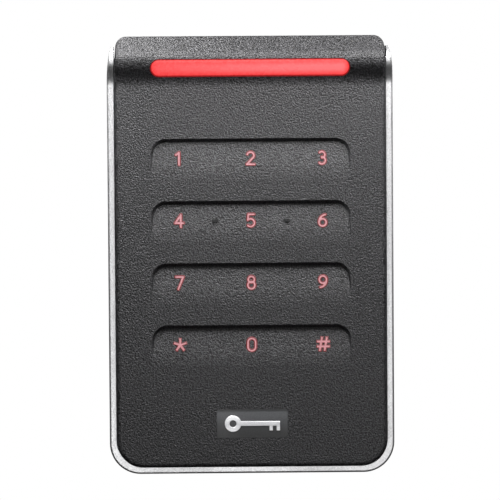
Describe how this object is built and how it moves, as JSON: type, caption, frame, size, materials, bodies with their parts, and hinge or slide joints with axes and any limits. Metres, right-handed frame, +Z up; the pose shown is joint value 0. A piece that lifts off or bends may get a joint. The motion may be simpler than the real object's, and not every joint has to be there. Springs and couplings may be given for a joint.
{
  "type": "keypad access reader",
  "caption": "Slim wall-mounted keypad access reader: black textured cover with a red light bar, glowing touch keys in shallow recesses, on a silver mounting plate.",
  "frame": {"origin": "centre of the mounting plate's back face, in the wall plane", "axes": "+Z up along the reader's height, +Y into the wall, +X to the right when facing the keypad; the keypad faces -Y"},
  "size_m": [0.0794, 0.0215, 0.1218],
  "materials": {
    "silver_paint": "satin",
    "black_textured": "matte",
    "red_lens": "gloss",
    "legend_red": "satin",
    "black_gloss": "gloss",
    "badge_dark": "satin",
    "badge_silver": "polished",
    "white_guide": "satin",
    "led_white": "gloss",
    "board_green": "satin",
    "copper": "satin",
    "connector_black": "satin",
    "ferrite": "matte",
    "chip_black": "matte",
    "tin_can": "satin",
    "capacitor_tan": "satin",
    "clear_plastic": "gloss",
    "terminal_green": "satin",
    "steel": "satin",
    "housing_black": "matte",
    "seal_rubber": "matte"
  },
  "bodies": {
    "plate": {"wall_plate": "silver_paint"},
    "reader": {"front_cover": "black_textured", "light_bar_lens": "red_lens", "light_bar_diffuser": "white_guide", "light_bar_lights": "led_white", "legend_1": "legend_red", "legend_2": "legend_red", "legend_3": "legend_red", "legend_4": "legend_red", "legend_5": "legend_red", "legend_6": "legend_red", "legend_7": "legend_red", "legend_8": "legend_red", "legend_9": "legend_red", "legend_star": "legend_red", "legend_0": "legend_red", "legend_hash": "legend_red", "position_dashes": "black_gloss", "badge_plate": "badge_dark", "badge_symbol": "badge_silver", "touch_board": "board_green", "key_diffusers": "white_guide", "key_lights": "led_white", "high_band_antenna": "copper", "board_link_plug": "connector_black", "board_link_socket": "connector_black", "main_board": "board_green", "ferrite_sheet": "ferrite", "low_band_antenna": "copper", "controller_chip": "chip_black", "radio_front_end": "chip_black", "secure_element": "chip_black", "radio_module_can": "tin_can", "voltage_regulator": "chip_black", "power_inductor": "ferrite", "clock_crystal": "tin_can", "chip_capacitors": "capacitor_tan", "buzzer": "connector_black", "tamper_sensor": "chip_black", "tamper_light_pipe": "clear_plastic", "terminal_header": "terminal_green", "terminal_pins": "tin_can", "rear_housing": "housing_black", "lock_catch": "steel", "perimeter_seal": "seal_rubber", "cover_screws": "steel", "board_screws": "steel"},
    "lock_screw": {"security_screw": "steel"},
    "plug": {"terminal_plug": "terminal_green", "terminal_screws": "steel"}
  },
  "joints": [
    {"name": "reader_tilt", "type": "hinge", "parent": "plate", "child": "reader", "pos_m": [0, -0.006, 0.053], "axis": [-1, 0, 0], "range_deg": [0, 25]},
    {"name": "screw_out", "type": "slide", "parent": "plate", "child": "lock_screw", "axis": [0, 0, -1], "range_m": [0, 0.005]},
    {"name": "plug_out", "type": "slide", "parent": "reader", "child": "plug", "axis": [0, 1, 0], "range_m": [0, 0.012]}
  ]
}
